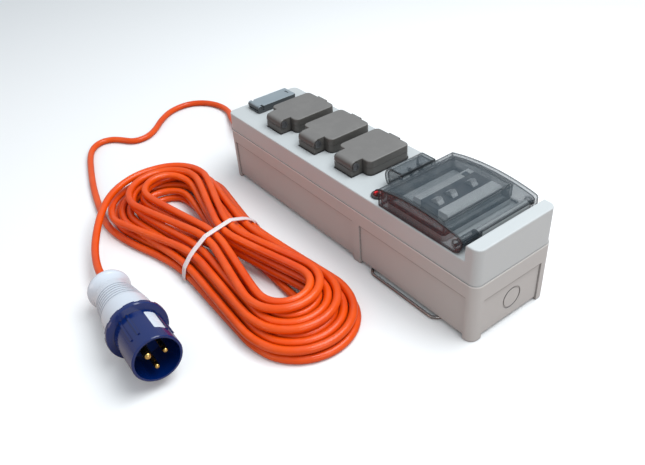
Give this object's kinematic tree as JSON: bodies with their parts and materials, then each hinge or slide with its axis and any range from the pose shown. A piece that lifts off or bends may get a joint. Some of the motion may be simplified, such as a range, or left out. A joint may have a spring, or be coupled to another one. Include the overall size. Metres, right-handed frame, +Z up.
{
  "type": "mobile mains distribution unit",
  "caption": "Long floor-standing mains box with lidded outlets, a charging outlet, breakers under a clear flap, a wire bail and a hanked lead with a round inlet plug.",
  "frame": {"origin": "on the floor, under the middle of the box and its bail, leaving out the lead with its gland and plug", "axes": "+X along the box from the cable end to the breaker end, +Y across it away from the bail side, +Z up"},
  "size_m": [0.6449, 0.3724, 0.115],
  "materials": {
    "base_plastic": "fine matte moulded texture, warm grey",
    "lid_plastic": "fine matte moulded texture, pale cool grey",
    "seal_rubber": "matte black",
    "plain_steel": "zinc plated",
    "usb_plastic": "satin blue-grey",
    "black_plastic": "satin black",
    "bezel_plastic": "gloss dark grey",
    "neon_red": "clear red lens",
    "module_plastic": "pale grey moulded",
    "toggle_plastic": "light grey moulded",
    "button_plastic": "dark grey moulded",
    "bare_brass": "drawn brass, lightly dulled",
    "smoked_clear": "smoked clear plastic",
    "bright_wire": "bright plated wire",
    "gland_plastic": "mid grey moulded",
    "orange_cable": "smooth bright orange jacket",
    "core_insulation": "smooth insulation",
    "tie_plastic": "translucent natural",
    "socket_plastic": "matte mid grey",
    "face_plastic": "matte dark grey",
    "grip_plastic": "satin pale blue-grey",
    "blue_plastic": "gloss deep blue"
  },
  "bodies": {
    "root": {"base_housing": "base_plastic", "cable_from_box": "orange_cable", "cable_hank": "orange_cable", "cable_tie": "tie_plastic", "cable_to_plug": "orange_cable", "din_rail": "plain_steel", "earth_bar": "bare_brass", "gland_body": "gland_plastic", "gland_dome_nut": "gland_plastic", "gland_locknut": "gland_plastic", "gland_seal": "seal_rubber", "inner_cores": "core_insulation", "inner_lead": "orange_cable", "lid_gasket": "seal_rubber", "lid_housing": "lid_plastic", "lid_screws": "plain_steel", "mcb_1": "module_plastic", "mcb_2": "module_plastic", "neon_bezel": "bezel_plastic", "neon_lens": "neon_red", "neon_nut": "black_plastic", "neutral_bar": "bare_brass", "plug_cord_clamp": "black_plastic", "plug_earth_pin": "bare_brass", "plug_grip": "grip_plastic", "plug_insert": "blue_plastic", "plug_line_pin": "bare_brass", "plug_neutral_pin": "bare_brass", "plug_shroud": "blue_plastic", "rail_screws": "plain_steel", "rcd_body": "module_plastic", "socket_body_1": "socket_plastic", "socket_body_2": "socket_plastic", "socket_body_3": "socket_plastic", "socket_contacts_1": "bare_brass", "socket_contacts_2": "bare_brass", "socket_contacts_3": "bare_brass", "socket_face_1": "face_plastic", "socket_face_2": "face_plastic", "socket_face_3": "face_plastic", "socket_gaskets": "seal_rubber", "socket_lid_pin_1": "plain_steel", "socket_lid_pin_2": "plain_steel", "socket_lid_pin_3": "plain_steel", "socket_lid_springs": "plain_steel", "usb_body": "usb_plastic", "usb_cover_pin": "plain_steel", "usb_module": "black_plastic", "window_gasket": "seal_rubber", "window_hinge_pin": "plain_steel"},
    "outlet_lid_1": {"socket_lid_1": "socket_plastic"},
    "outlet_lid_2": {"socket_lid_2": "socket_plastic"},
    "outlet_lid_3": {"socket_lid_3": "socket_plastic"},
    "usb_lid": {"usb_cover": "usb_plastic"},
    "flap": {"window_flap": "smoked_clear"},
    "switch_1": {"mcb_toggle_1": "toggle_plastic"},
    "switch_2": {"mcb_toggle_2": "toggle_plastic"},
    "rcd_switch": {"rcd_toggle": "toggle_plastic"},
    "test_button": {"rcd_test_button": "button_plastic"},
    "bail": {"wire_bail": "bright_wire"}
  },
  "joints": [
    {"name": "outlet_lid_1_hinge", "type": "hinge", "parent": "root", "child": "outlet_lid_1", "pos_m": [-0.123, -0.0315, 0.1012], "axis": [1, 0, 0], "range_deg": [0, 95], "stiffness_Nm_per_rad": 0.02, "springref_deg": -34.38},
    {"name": "outlet_lid_2_hinge", "type": "hinge", "parent": "root", "child": "outlet_lid_2", "pos_m": [-0.0585, -0.0315, 0.1012], "axis": [1, 0, 0], "range_deg": [0, 95], "stiffness_Nm_per_rad": 0.02, "springref_deg": -34.38},
    {"name": "outlet_lid_3_hinge", "type": "hinge", "parent": "root", "child": "outlet_lid_3", "pos_m": [0.006, -0.0315, 0.1012], "axis": [1, 0, 0], "range_deg": [0, 95], "stiffness_Nm_per_rad": 0.02, "springref_deg": -34.38},
    {"name": "usb_cover_hinge", "type": "hinge", "parent": "root", "child": "usb_lid", "pos_m": [-0.183, -0.0236, 0.0957], "axis": [1, 0, 0], "range_deg": [0, 120]},
    {"name": "flap_hinge", "type": "hinge", "parent": "root", "child": "flap", "pos_m": [0.1775, 0, 0.0985], "axis": [0, 1, 0], "range_deg": [0, 86]},
    {"name": "switch_1_rock", "type": "hinge", "parent": "root", "child": "switch_1", "pos_m": [0.128, -0.022, 0.104], "axis": [0, 1, 0], "range_deg": [-42, 0]},
    {"name": "switch_2_rock", "type": "hinge", "parent": "root", "child": "switch_2", "pos_m": [0.128, -0.004, 0.104], "axis": [0, 1, 0], "range_deg": [-42, 0]},
    {"name": "rcd_switch_rock", "type": "hinge", "parent": "root", "child": "rcd_switch", "pos_m": [0.128, 0.023, 0.104], "axis": [0, 1, 0], "range_deg": [-42, 0]},
    {"name": "test_button_press", "type": "slide", "parent": "root", "child": "test_button", "axis": [0, 0, -1], "range_m": [0, 0.0012], "stiffness_N_per_m": 300, "springref_m": -0.002},
    {"name": "bail_swing", "type": "hinge", "parent": "root", "child": "bail", "pos_m": [0.1145, 0.018, 0.0024], "axis": [1, 0, 0], "range_deg": [0, 100]}
  ]
}
